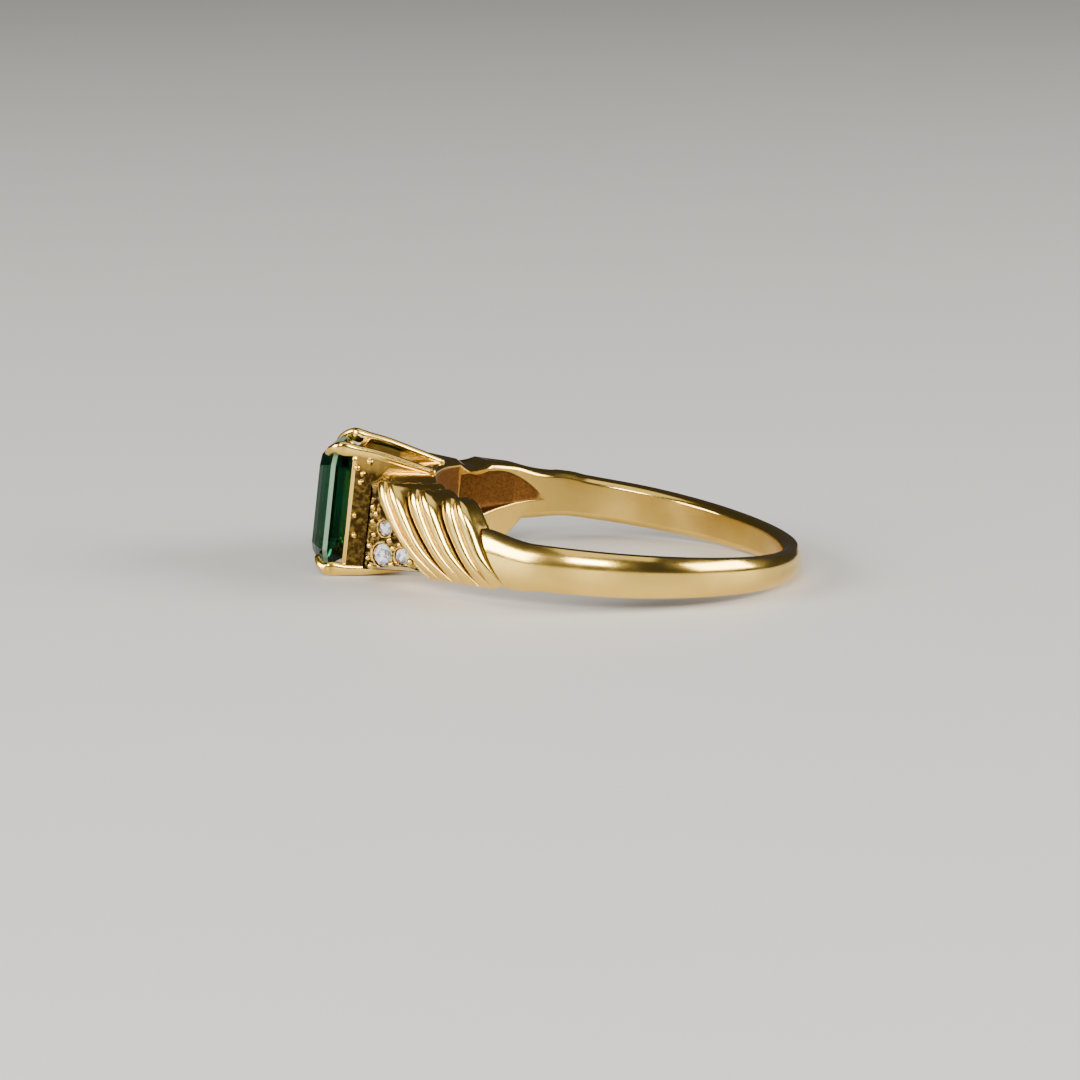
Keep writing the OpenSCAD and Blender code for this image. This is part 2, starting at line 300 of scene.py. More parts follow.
class FormTree(Nodes):
    """A Geometry Nodes tree with named sizes, which ends as a plain mesh."""

    def __init__(self, name: str, sizes: dict[str, float | int]) -> None:
        """Starts the tree.

        Args:
            name: The tree's name.
            sizes: Its named inputs, with their values.
        """
        group = bpy.data.node_groups.new(name, "GeometryNodeTree")
        super().__init__(group)
        group.interface.new_socket("Geometry", in_out="INPUT", socket_type="NodeSocketGeometry")
        group.interface.new_socket("Geometry", in_out="OUTPUT", socket_type="NodeSocketGeometry")
        self.values: dict[str, float | int] = {}
        for label, value in sizes.items():
            kind = "NodeSocketInt" if isinstance(value, int) else "NodeSocketFloat"
            made = group.interface.new_socket(label, in_out="INPUT", socket_type=kind)
            self.values[made.identifier] = value
        self.entry = self.add("NodeGroupInput")

    def size(self, label: str) -> Sock:
        """Returns a named input."""
        return self.entry.out(label)

    def read(self, name: str, kind: str = "FLOAT") -> Sock:
        """Returns a named attribute of the geometry."""
        return self.add("GeometryNodeInputNamedAttribute", {"data_type": kind}, {"Name": name})

    def vector(self, x: Value = 0.0, y: Value = 0.0, z: Value = 0.0) -> Sock:
        """Returns a vector from its parts."""
        return self.add("ShaderNodeCombineXYZ", None, {"X": x, "Y": y, "Z": z})

    def placed(self, geometry: Sock, **how: Sock | Triple) -> Sock:
        """Returns the geometry moved by what Translation, Rotation and Scale say."""
        return self.add("GeometryNodeTransform", None, {"Geometry": geometry, **how})

    def shifted(self, geometry: Sock, way: Sock, amount: Value) -> Sock:
        """Returns the geometry with each point moved along its own way by its own amount."""
        offset = self.add("ShaderNodeVectorMath", {"operation": "SCALE"}, {0: way, "Scale": amount})
        return self.add("GeometryNodeSetPosition", None, {"Geometry": geometry, "Offset": offset})

    def joined(self, first: Sock, second: Sock) -> Sock:
        """Joins two geometries.

        Args:
            first: The one that is linked first.
            second: The other one.

        Returns:
            Both as one.
        """
        both = self.add("GeometryNodeJoinGeometry", None, {0: first})
        self.tree.links.new(second.socket, both.socket.node.inputs[0])
        return both

    def with_mirror_image(self) -> Sock:
        """Returns the tree's own geometry with a copy mirrored across Y, its faces outwards."""
        copy = self.placed(self.entry, Scale=self.vector(1.0, self.size("Mirror"), 1.0))
        return self.joined(self.add("GeometryNodeFlipFaces", None, {"Mesh": copy}), self.entry)

    def half_turned(self, geometry: Sock) -> Sock:
        """Returns the geometry with a copy turned half way round about X."""
        return self.joined(geometry, self.placed(geometry, Rotation=(math.pi, 0.0, 0.0)))

    def grow(
        self, obj: bpy.types.Object, geometry: Sock, material: bpy.types.Material,
    ) -> None:
        """Ends the tree, runs it on an object and keeps the result as that object's mesh.

        Args:
            obj: The object whose mesh the tree starts from.
            geometry: The tree's last geometry.
            material: The finish of all of it.
        """
        real = self.add("GeometryNodeRealizeInstances", None, {0: geometry})
        dressed = self.add(
            "GeometryNodeSetMaterial", None, {"Geometry": real, "Material": material})
        self.add("NodeGroupOutput", None, {0: dressed})
        modifier = obj.modifiers.new(self.tree.name, "NODES")
        modifier.node_group = self.tree
        for identifier, value in self.values.items():
            modifier[identifier] = value
        settle(obj)


def settle(obj: bpy.types.Object) -> None:
    """Applies an object's modifiers and keeps the result as its plain mesh.

    Args:
        obj: The object.
    """
    bpy.context.view_layer.update()
    depsgraph = bpy.context.evaluated_depsgraph_get()
    made = bpy.data.meshes.new_from_object(obj.evaluated_get(depsgraph))
    obj.modifiers.clear()
    obj.data = made


def cut_away(obj: bpy.types.Object, cutter: bpy.types.Object) -> None:
    """Cuts one object's shape out of another.

    Args:
        obj: The object that is cut.
        cutter: The shape, which is deleted afterwards.
    """
    cut = obj.modifiers.new("cut", "BOOLEAN")
    cut.operation, cut.object, cut.solver = "DIFFERENCE", cutter, "EXACT"
    settle(obj)
    bpy.data.objects.remove(cutter)


def linked(name: str, data: bpy.types.ID) -> bpy.types.Object:
    """Makes an object of a mesh, a light or a camera.

    Args:
        name: Its name.
        data: What it shows.

    Returns:
        The object, linked to the scene.
    """
    obj = bpy.data.objects.new(name, data)
    bpy.context.scene.collection.objects.link(obj)
    return obj


def new_object(
    name: str, points: Sequence[Triple] | np.ndarray = (), faces: Sequence[Sequence[int]] = (),
    attributes: dict[str, np.ndarray] | None = None,
) -> bpy.types.Object:
    """Makes an object from plain numbers.

    Args:
        name: The piece's name.
        points: Its points in millimetres.
        faces: The point numbers of each face.
        attributes: Values for each point, numbers or vectors, by name.

    Returns:
        The object, linked to the scene.
    """
    mesh = bpy.data.meshes.new(name)
    mesh.from_pydata((np.reshape(points, (-1, 3)) * MM).tolist(), [], faces)
    for label, values in (attributes or {}).items():
        flat = np.asarray(values, np.float32)
        kind, slot = ("FLOAT_VECTOR", "vector") if flat.ndim == 2 else ("FLOAT", "value")
        mesh.attributes.new(label, kind, "POINT").data.foreach_set(slot, flat.ravel())
    return linked(name, mesh)


@contextmanager
def editing(obj: bpy.types.Object) -> Iterator[bmesh.types.BMesh]:
    """Opens an object's mesh for editing and writes it back.

    Args:
        obj: The object.

    Yields:
        The mesh to edit.
    """
    bm = bmesh.new()
    bm.from_mesh(obj.data)
    yield bm
    bm.to_mesh(obj.data)
    bm.free()


def face_outwards(obj: bpy.types.Object) -> None:
    """Turns the faces of a closed mesh outwards."""
    with editing(obj) as bm:
        bmesh.ops.recalc_face_normals(bm, faces=bm.faces)


def loop_faces(columns: int, around: int) -> list[list[int]]:
    """Lists the faces of a tube that is open at both ends.

    Args:
        columns: How many sections it has.
        around: How many points each of them has.

    Returns:
        The four point numbers of each face.
    """
    i, j = np.meshgrid(np.arange(columns - 1), np.arange(around), indexing="ij")
    k = (j + 1) % around
    corners = (i * around + j, i * around + k, (i + 1) * around + k, (i + 1) * around + j)
    return np.stack(corners, -1).reshape(-1, 4).tolist()


@dataclass(frozen=True)
class RestPose:
    """How the ring lies: on two claws and the back of the band."""

    tilt: float = 6.43324
    shift: float = 2.41379
    lift: float = 1.87091

    @property
    def matrix(self) -> Matrix:
        """The move from the ring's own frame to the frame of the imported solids."""
        place = Matrix.Translation((self.shift * MM, 0.0, self.lift * MM))
        return place @ Matrix.Rotation(math.radians(self.tilt), 4, "Y")

    def lay(self, obj: bpy.types.Object) -> None:
        """Lays an object's mesh down."""
        obj.data.transform(self.matrix)
        obj.data.update()


REST = RestPose()


def hand_over(obj: bpy.types.Object, sharp: float = 50.0) -> None:
    """Finishes a gold piece: its shading, its place, its body, and hiding the node that it stands
    for.

    Args:
        obj: The piece, in the ring's own frame.
        sharp: Edges that bend more than this many degrees stay crisp.
    """
    REST.lay(obj)
    obj.data.shade_smooth()
    obj.data.set_sharp_from_angle(angle=math.radians(sharp))
    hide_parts(GOLD_NODE)
    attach(obj, BODY)
    log.info("%s: %d faces", obj.name, len(obj.data.polygons))


def dress_node(name: str, material: bpy.types.Material) -> None:
    """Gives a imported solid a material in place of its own.

    Args:
        name: The node's name.
        material: The new material.
    """
    obj = bpy.data.objects[name]
    for place in obj.material_slots:
        place.link = "OBJECT"
        place.material = material
    log.info("%s: dressed as %s", name, material.name)


@dataclass(frozen=True)
class GoldFinish:
    """Polished yellow gold, which three attributes of a mesh change.

    hollow makes it satin and red-brown like a cast surface, groove paints shade into the bottoms of
    the flutes, and field paints shade over the plain faces beside the stones and over the cheeks,
    lighter in patches.
    """

    name: str = "yellow_gold"
    bright: Triple = (0.88, 0.60, 0.135)
    deep: Triple = (0.70, 0.43, 0.075)
    cast: Triple = (0.10, 0.026, 0.008)
    # The painted shade of the flute grooves, the field and the cheeks.
    painted_shade: Triple = (0.014, 0.007, 0.003)
    # How rough the polished and the cast surface are, and what is added to that.
    polish: float = 0.14
    satin: float = 0.45
    cast_rough: float = 0.2
    worn_rough: float = 0.05
    scratch_rough: float = 0.06
    groove_rough: float = 0.15
    field_rough: float = 0.14
    patch_polish: float = 0.12
    # How far the colours go towards deep, cast and the painted shade.
    worn_share: float = 0.45
    cast_share: float = 0.75
    cast_grain: float = 0.35
    groove_share: float = 0.9
    patch_share: float = 0.26
    # Scale, detail and roughness of each noise, and the ramps that they go through.
    wear: Triple = (420.0, 3.0, 0.55)
    wear_span: tuple[float, float] = (0.38, 0.7)
    grain: Triple = (9000.0, 4.0, 0.65)
    scratch: Triple = (2600.0, 5.0, 0.7)
    scratch_span: tuple[float, float] = (0.55, 0.75)
    scratch_turn: Triple = (0.3, 0.2, 0.5)
    scratch_stretch: Triple = (1.0, 1.0, 14.0)
    patch: Triple = (4200.0, 2.0, 0.5)
    patch_span: tuple[float, float] = (0.4, 0.72)
    # Heights of scratches, cast grain and patches, in metres.
    heights: Triple = (5e-7, 9e-6, 1.3e-5)

    def material(self) -> bpy.types.Material:
        """Writes the finish.

        Returns:
            The material.
        """
        n = LookTree(self.name)
        hollow, groove, field_shade_and_satin = (n.attribute(name) for name in ("hollow", "groove", "field"))
        worn = n.noise(*self.wear).ramp(*self.wear_span)
        grain = n.noise(*self.grain)
        long_way = n.add(
            "ShaderNodeMapping", None,
            {"Vector": n.place, "Rotation": self.scratch_turn, "Scale": self.scratch_stretch})
        scratch = n.noise(*self.scratch, long_way)
        patch = n.noise(*self.patch).ramp(*self.patch_span)
        gold = n.blend(self.bright, self.deep, worn * self.worn_share)
        gold = n.blend(gold, self.cast, hollow * (self.cast_share + self.cast_grain * grain))
        # Painted shade in the flute grooves and over the field and cheeks, lighter in patches.
        gold = n.blend(gold, self.painted_shade, groove * self.groove_share)
        gold = n.blend(gold, self.painted_shade, field_shade_and_satin * (1.0 - self.patch_share * patch))
        rough = self.polish + self.worn_rough * worn
        rough = rough + self.scratch_rough * scratch.ramp(*self.scratch_span)
        rough = rough + hollow * (self.satin - self.polish + self.cast_rough * (grain - 0.5))
        rough = rough + self.groove_rough * groove
        rough = rough + field_shade_and_satin * (self.field_rough - self.patch_polish * patch)
        scratch_h, grain_h, patch_h = self.heights
        height = scratch * scratch_h + hollow * grain * grain_h + field_shade_and_satin * patch * patch_h
        relief = n.add(
            "ShaderNodeBump", None, {"Strength": 1.0, "Distance": 1.0, "Height": height})
        return n.finished(n.surface(
            {"Base Color": gold, "Metallic": 1.0, "Roughness": rough, "Normal": relief}))


@dataclass(frozen=True)
class GemFinish:
    """A cut stone: clear and coloured, with a tinted gloss, a frosted girdle or painted flashes."""

    name: str
    colour: Triple
    index: float
    sheen: Triple = (1.0, 1.0, 1.0)
    # How much darker its clouds are, their scale and detail, and the ramp that they go through.
    dark: float = 0.55
    cloud: tuple[float, float] = (700.0, 2.0)
    cloud_span: tuple[float, float] = (0.35, 0.7)
    # The girdle's two edges along the ring's own X and how soft they are, and its frosted surface.
    girdle: tuple[float, float] | None = None
    edge: float = 0.012
    frost: Triple = (0.22, 0.37, 0.24)
    frost_dark: float = 0.6
    frost_grain: tuple[float, float] = (12000.0, 3.0)
    frost_rough: float = 0.45
    frost_share: float = 0.8
    # How strong the painted flashes are, their surface, and the cells that they come from.
    sparkle: float = 0.0
    flash: Triple = (0.86, 0.86, 1.0)
    flash_rough: float = 0.3
    flash_scale: float = 5200.0
    flash_span: tuple[float, float] = (0.48, 0.64)

    def frosted(self, n: LookTree, stone: Sock) -> Sock:
        """Frosts the girdle.

        Args:
            n: The material's tree.
            stone: The clear stone.

        Returns:
            The stone with its girdle.
        """
        tilt = math.radians(REST.tilt)
        along = n.add(
            "ShaderNodeVectorMath", {"operation": "DOT_PRODUCT"},
            {0: n.place, 1: (math.cos(tilt), 0.0, -math.sin(tilt))}).out("Value")
        home = (REST.shift * math.cos(tilt) - REST.lift * math.sin(tilt)) * MM
        low, high = (home + x * MM for x in self.girdle)
        soft = self.edge * MM
        inside = along.ramp(low - soft, low + soft) * (1 - along.ramp(high - soft, high + soft))
        ground = n.surface(
            {"Base Color": n.shaded(self.frost, self.frost_dark, n.noise(*self.frost_grain)),
             "Roughness": self.frost_rough, "IOR": self.index})
        return n.overlaid(stone, ground, inside * self.frost_share)

    def flashing(self, n: LookTree, stone: Sock) -> Sock:
        """Adds pale flashes, painted as white patches over the clear stone.

        Args:
            n: The material's tree.
            stone: The clear stone.

        Returns:
            The stone with its flashes.
        """
        painted_flash = n.surface(
            {"Base Color": (*self.flash, 1.0), "Roughness": self.flash_rough, "IOR": self.index})
        cells = n.add("ShaderNodeTexVoronoi", None, {"Vector": n.place, "Scale": self.flash_scale})
        lit = cells.out("Color").ramp(*self.flash_span)
        return n.overlaid(stone, painted_flash, lit * self.sparkle)

    def material(self) -> bpy.types.Material:
        """Writes the finish.

        Returns:
            The material.
        """
        n = LookTree(self.name)
        cloud = n.noise(*self.cloud).ramp(*self.cloud_span)
        colour = n.shaded(self.colour, self.dark, cloud)
        stone = n.surface(
            {"Base Color": colour, "Roughness": 0.0, "IOR": self.index,
             "Specular Tint": (*self.sheen, 1.0), "Transmission Weight": 1.0})
        if self.girdle:
            stone = self.frosted(n, stone)
        if self.sparkle:
            stone = self.flashing(n, stone)
        return n.finished(stone)


@dataclass(frozen=True)
class FloorFinish:
    """Plain pale matte floor."""

    name: str = "pale_floor"
    colour: Triple = (0.72, 0.71, 0.69)
    dark: float = 0.96
    cloud: tuple[float, float] = (60.0, 4.0)
    roughness: float = 0.55

    def material(self) -> bpy.types.Material:
        """Writes the finish.

        Returns:
            The material.
        """
        n = LookTree(self.name)
        colour = n.shaded(self.colour, self.dark, n.noise(*self.cloud))
        return n.finished(n.surface({"Base Color": colour, "Roughness": self.roughness}))


class Side(Enum):
    """The two halves of the ring, each with the length over which its last flute's tail runs out."""

    NEAR = 1.2
    FAR = 3.6


@dataclass
class Pocket:
    """The hollow behind a shoulder, cut from inside the hole."""

    # Degrees from the back of the band to its tip, and from there to its end.
    start: float = 118.5
    reach: float = 38.0
    # Gold left outside it, its least depth, and how far past the join it follows the shoulder.
    wall: float = 0.85
    least: float = 0.1
    most_lean: float = 60.0
    # The tip's half height, how far the edges spread from there, and how the upper one bends.
    tip: float = 0.08
    low: float = 1.28
    top: float = 1.4
    top_power: float = 1.5
    # The rounding of its edges, and how square its section is.
    lip: float = 0.1
    squareness: float = 0.42
    # Shares of its reach over which its tip and its end round off.
    tip_share: float = 0.12
    end_share: float = 0.05
    # How far apart its points lie before its tip and past its end, and over how many degrees.
    spread: float = 0.25
    spread_run: float = 12.0
    head_half: float = 1.35
    head_run: float = 15.0
    # The depth at which the polished surface starts to turn into a cast one, and over how much.
    cast_from: float = 0.03
    cast_run: float = 0.06
    steps: int = 28
    lip_steps: int = 4

    @property
    def end(self) -> float:
        """Degrees from the back of the band to its end."""
        return self.start + self.reach

    def share(self, angle: np.ndarray) -> np.ndarray:
        """Returns how far along the pocket each angle lies, 0 at its tip and 1 at its end."""
        return (angle - self.start) / self.reach

    def edges(self, angle: np.ndarray) -> tuple[np.ndarray, np.ndarray]:
        """Finds the pocket's outline.

        Args:
            angle: Degrees from the back of the band.

        Returns:
            The heights of its lower and upper edges; beyond it, places for its points to lie.
        """
        x = clamp(self.share(angle))
        away = self.spread * ease((self.start - angle) / self.spread_run)
        low = -self.tip - self.low * (1 - (1 - np.minimum(2 * x, 1)) ** 2) - away
        top = self.tip + self.top * x ** self.top_power + away
        past = ease((angle - self.end) / self.head_run)
        return mix(low, -self.head_half, past), mix(top, self.head_half, past)

    def depth(self, angle: np.ndarray, edge_r: float, hole_r: float, join: float) -> np.ndarray:
        """Finds how deep the pocket is.

        Args:
            angle: Degrees from the back of the band.
            edge_r: Radius of the band's outer edges.
            hole_r: Radius of the finger hole.
            join: Angle where the straight shoulder starts.

        Returns:
            Depths outwards from the hole's wall, 0 outside the pocket.
        """
        x = self.share(angle)
        lean = np.radians(np.clip(angle - join, 0, self.most_lean))
        deep = np.maximum(edge_r / np.cos(lean) - self.wall - hole_r, self.least)
        closed = (1 - clamp((x - 1 + self.end_share) / self.end_share) ** 4) ** (1 / 4)
        return np.where(x >= 1, 0.0, deep * quarter(x / self.tip_share) * closed)

    def profile(
        self, angle: np.ndarray, depth: np.ndarray,
    ) -> tuple[np.ndarray, np.ndarray, np.ndarray]:
        """Works out the pocket's points from its upper to its lower edge.

        Args:
            angle: The angle of each column.
            depth: Its depth there.

        Returns:
            Depths and heights, one row to a column, and how much of each point is cast surface.
        """
        low, top = (edge[:, None] for edge in self.edges(angle))
        turn = np.radians(np.linspace(0, 90, self.lip_steps, endpoint=False))
        lip = np.minimum(self.lip, depth * 0.5)[:, None]
        lip_deep = lip * (1 - np.cos(turn))
        lip_up = self.lip * (1 - np.sin(turn))[None, :]
        phi = np.linspace(0, np.pi, self.steps + 1)
        side = squared_off(np.cos(phi), self.squareness)
        fall = squared_off(np.sin(phi), self.squareness)
        inner = (top + low) / 2 + (top - low) / 2 * side
        deep = lip + (depth[:, None] - lip) * fall
        heights = np.concatenate([top + lip_up, inner, (low - lip_up)[:, ::-1]], axis=1)
        depths = np.concatenate([lip_deep, deep, lip_deep[:, ::-1]], axis=1)
        return depths, heights, ease((depths - self.cast_from) / self.cast_run)


@dataclass
class Stretch:
    """Columns of the shank's outer face that are worked out in one way."""

    # Distances from the join and heights, by column and row, and how far off the face they lie.
    along: np.ndarray
    height: np.ndarray
    off: float = 0.0
    # How far flutes and dome are raised, and the count of lobes up to each column.
    flute: float = 0.0
    dome: float = 0.0
    lobe: Number = 0.0

    def column(self, name: str) -> np.ndarray:
        """Returns a field's value for each column."""
        return np.broadcast_to(getattr(self, name), len(self.along))


@dataclass
class OuterFace:
    """One half's outer face, from the middle of the back to the middle of the head."""

    # Points and the ways in which relief lifts them, by column and row.
    point: np.ndarray
    lift: np.ndarray
    # Values of flute, dome and lobe for each column.
    columns: dict[str, np.ndarray]
    # Angles of each column's lower end, upper end and middle.
    low: np.ndarray
    top: np.ndarray
    middle: np.ndarray


@dataclass
class Shank:
    """Band, fluted shoulders and the head's base, in one piece with a hollow behind each shoulder."""

    # The band: its hole, its thickness at the edges, its dome, its widths and where it is widest.
    hole_r: float = 8.5
    edge_t: float = 0.75
    dome: float = 0.3
    dome_power: float = 2.4
    back_w: float = 1.5
    side_w: float = 2.1
    widest: float = 106.0
    # How far its middle swings up at the back and down at the front, and the angle between them.
    swing: Triple = (0.2, 0.22, 94.0)
    # How much wider its lower and upper edges get before the shoulder, and over what length.
    flare: Triple = (0.12, 0.25, 3.2)
    # How far the rims of the hole are rounded, outwards and along the finger, and how squarely.
    rim: tuple[float, float] = (0.3, 0.3)
    rim_power: float = 1.35
    # The straight shoulder: its angle, its length, its top, its tails and the last one's drop.
    join: float = 117.5
    shoulder_l: float = 7.75
    shoulder_top: float = 2.3
    shoulder_tail: float = 1.5
    tail_drop: float = 0.36
    # Where the first groove lies, how wide it is, where the flutes end, and their floor.
    groove_at: float = 1.75
    groove_w: float = 0.12
    flutes_end: float = 7.55
    floor_off: float = -0.12
    # The flutes: their height, their number, and how much closer they get towards the head.
    flute_h: float = 0.55
    lobes: int = 3
    lobe_power: float = 1.11
    # Their tops: the length over which they rise, their scallops, and the dip between ridges.
    top_run: float = 0.68
    scallop: float = 0.65
    scallop_power: float = 2.5
    dip: float = 0.08
    # Their section: the share of its two small ridges, and how its upper and lower ends fall away.
    pair_share: float = 0.45
    edge_round: float = 0.3
    edge_powers: tuple[float, float] = (5.0, 3.0)
    # How high on the section the painted shade in the grooves ends, and how it fades towards the
    # tails.
    groove_span: tuple[float, float] = (0.42, 0.82)
    groove_power: float = 4.0
    # How columns lean with the depth below the top: straight, and bent at the first and last flute.
    lean: Triple = (0.37, 0.07, 0.13)
    lean_fades: float = -4.0
    # The plain field between the last flute and the head: its ends there, and its lower edge's bow.
    field_bottom: float = 2.2
    field_top: float = 1.88
    scoop: float = 0.3
    scoop_power: float = 0.6
    # The head's base: its half height, its distance from the hole's centre, its dip and its bend.
    base_half: float = 2.3
    base_u: float = 11.1
    base_dip: float = 0.4
    base_bend: float = 1.6
    # How dark the painted shade on the field and the middle of the base is, and how satin the wall of
    # the hole is, its darker colour partly painted shade.
    field_shade: float = 1.0
    base_shade: float = 0.35
    bore_satin_and_shade: float = 0.22
    # The opening under the tourmaline: across, along the finger, how far out, and its corners.
    light_hole: Triple = (2.0, 2.8, 10.8)
    light_corner: float = 0.6
    corner_steps: int = 8
    # Counts of columns and rows, and the bend in degrees past which an edge stays crisp.
    rows: int = 40
    band_cols: int = 150
    ridge_cols: int = 22
    field_cols: int = 20
    base_cols: int = 26
    strip_rows: int = 8
    rim_steps: int = 6
    sharp: float = 38.0
    pocket: Pocket = field(default_factory=Pocket)

    @property
    def edge_r(self) -> float:
        """Radius of the band's outer edges."""
        return self.hole_r + self.edge_t

    def face_angle(self, along: Number) -> Number:
        """Returns the angle of a place on the outer face, by its distance from the join."""
        flat = np.degrees(np.arctan(np.maximum(along, 0) / self.edge_r))
        return self.join + flat + np.degrees(np.minimum(along, 0) / self.edge_r)

    def face_out(self, along: np.ndarray) -> np.ndarray:
        """Returns the outward direction of the outer face."""
        flat = polar(1.0, np.minimum(self.face_angle(along), self.join))
        return np.concatenate([flat, np.zeros_like(along)[..., None]], -1)

    def face_point(self, along: np.ndarray, height: np.ndarray, off: float) -> np.ndarray:
        """Finds places on the outer face.

        Args:
            along: Distances from the join towards the head.
            height: Heights along the finger.
            off: Distance off the face.

        Returns:
            An array whose last axis holds x, y and z.
        """
        join = math.radians(self.join)
        way = np.array([-math.sin(join), -math.cos(join), 0.0])
        points = self.face_out(along) * (self.edge_r + off)
        points = points + np.maximum(along, 0)[..., None] * way
        points[..., 2] = height
        return points

    def band_edges(self, at: Number) -> tuple[Number, Number]:
        """Finds the plain band's edges.

        Args:
            at: Distances from the join, before the columns lean.

        Returns:
            The heights of its lower and upper edges.
        """
        angle = self.face_angle(np.minimum(at, 0))
        front_share = np.sin(np.radians(np.minimum(90 * angle / self.widest, 90))) ** 2
        half = mix(self.back_w, self.side_w, front_share) / 2
        back, front, turn = self.swing
        middle = np.where(angle < turn, back, front) * np.sin(np.radians(180 * angle / turn))
        low, top, run = self.flare
        wide = ease((at - self.groove_at) / run + 1)
        return middle - half - low * wide, middle + half + top * wide

    def flute_at(self, lobe: Number) -> Number:
        """Returns the distance from the join at a count of lobes."""
        share = 1 - (1 - lobe / self.lobes) ** self.lobe_power
        return mix(self.groove_at, self.flutes_end, share)

    def flute_edges(self, lobe: Number, run: float) -> tuple[Number, Number]:
        """Finds the ends of the flutes.

        Args:
            lobe: Counts of lobes.
            run: The length over which the tails run out.

        Returns:
            The heights of their tails and of their scalloped tops.
        """
        low, top = self.band_edges(self.groove_at)
        past = self.flute_at(lobe) - self.groove_at
        part = np.where(lobe < self.lobes, lobe - np.floor(lobe), 1.0)
        ridge = np.where(part < 0.5, 2 * part, 2 * part - 1)
        line = self.shoulder_top - self.scallop * np.abs(2 * part - 1) ** self.scallop_power
        line = line - self.dip * (1 - arch(ridge))
        tail = -self.shoulder_tail - self.tail_drop * lobe / self.lobes
        return mix(low, tail, ease(past / run)), mix(top, line, quarter(past / self.top_run))

    def leaned(self, at: np.ndarray, height: np.ndarray) -> np.ndarray:
        """Shifts distances towards the band with the depth below the shoulder's top.

        Args:
            at: Distances from the join.
            height: Heights.

        Returns:
            The new distances.
        """
        straight, first, last = self.lean
        down = self.shoulder_top - height
        share = clamp((at - self.groove_at) / (self.flutes_end - self.groove_at))
        fade = ease((at - self.lean_fades) / (self.groove_at - self.lean_fades))
        return at - fade * (straight * down + mix(first, last, share) * down * down)

    def heights(self, low: Number, top: Number) -> np.ndarray:
        """Returns each column's heights, closer together towards its edges."""
        share = cosine_steps(self.rows)[None, :]
        return mix(np.atleast_1d(low)[:, None], np.atleast_1d(top)[:, None], share)

    def band(self) -> Stretch:
        """Works out the plain band, from the middle of its back to the first groove.

        Returns:
            Its columns.
        """
        back = -math.radians(self.join) * self.edge_r
        at = np.linspace(back, self.groove_at - self.groove_w, self.band_cols)
        height = self.heights(*self.band_edges(at))
        return Stretch(self.leaned(at[:, None], height), height, dome=1.0)

    def flutes(self, side: Side) -> Stretch:
        """Works out the floor that the flutes are raised from.

        Args:
            side: Which half.

        Returns:
            Its columns.
        """
        steps = cosine_steps(self.ridge_cols)[:-1]
        ridges = [(k + steps) / 2 for k in range(2 * self.lobes)]
        lobe = np.append(np.concatenate(ridges), self.lobes)
        height = self.heights(*self.flute_edges(lobe, side.value))
        along = self.leaned(self.flute_at(lobe)[:, None], height)
        return Stretch(along, height, self.floor_off, flute=1.0, lobe=lobe)

    def field(self, side: Side) -> Stretch:
        """Works out the plain field between the last flute and the head.

        Args:
            side: Which half.

        Returns:
            Its columns.
        """
        share = np.linspace(0, 1, self.field_cols + 1)[1:]
        tail, _ = self.flute_edges(np.array([float(self.lobes)]), side.value)
        scoop = self.scoop * np.sin(np.pi * share ** self.scoop_power)
        low = mix(tail, -self.field_bottom, share * share) + scoop
        height = self.heights(low, self.field_top + 0 * share)
        start = self.leaned(np.full((len(share), 1), self.flutes_end), height)
        return Stretch(mix(start, self.shoulder_l, share[:, None]), height, self.floor_off)

    def base(self) -> tuple[np.ndarray, np.ndarray]:
        """Works out the head's base, up to the middle of the head.

        Returns:
            The angle of each column, and points by column and row.
        """
        share = np.linspace(0, 1, self.base_cols + 1)
        angle = mix(self.face_angle(self.shoulder_l), 180.0, share)
        rise = ease(self.base_bend * share)
        out = self.base_u - self.base_dip * rise
        height = self.heights(-mix(self.field_bottom, self.base_half, rise),
                              mix(self.field_top, self.base_half, rise))
        radius = out / np.cos(np.radians(180 - angle))
        return angle, around_hole(radius[:, None], angle[:, None] + 0 * height, height)

    def outer_face(self, side: Side) -> OuterFace:
        """Puts one half's outer face together.

        Args:
            side: Which half.

        Returns:
            The face.
        """
        parts = [self.band(), self.flutes(side), self.field(side)]
        along, height = (
            np.concatenate([getattr(part, k) for part in parts]) for k in ("along", "height"))
        off = np.concatenate([part.column("off") for part in parts])
        out = self.face_out(along)
        points = self.face_point(along, height, 0.0) + out * off[:, None, None]
        angle, base = self.base()
        low, top = (np.concatenate([self.face_angle(along[:, row]), angle]) for row in (0, -1))
        middle = (low + top) / 2
        first = len(parts[0].along) + len(parts[1].along) - 1
        last = first + self.field_cols - 2
        run = np.linspace(0, 1, last - first + 1)
        middle[first:last + 1] = mix(middle[first], self.pocket.end, np.sin(run * np.pi / 2))
        columns = {k: np.concatenate([*(part.column(k) for part in parts), 0 * angle])
                   for k in ("flute", "dome", "lobe")}
        lift = np.concatenate([out, np.zeros_like(base)])
        return OuterFace(np.concatenate([points, base]), lift, columns, low, top, middle)

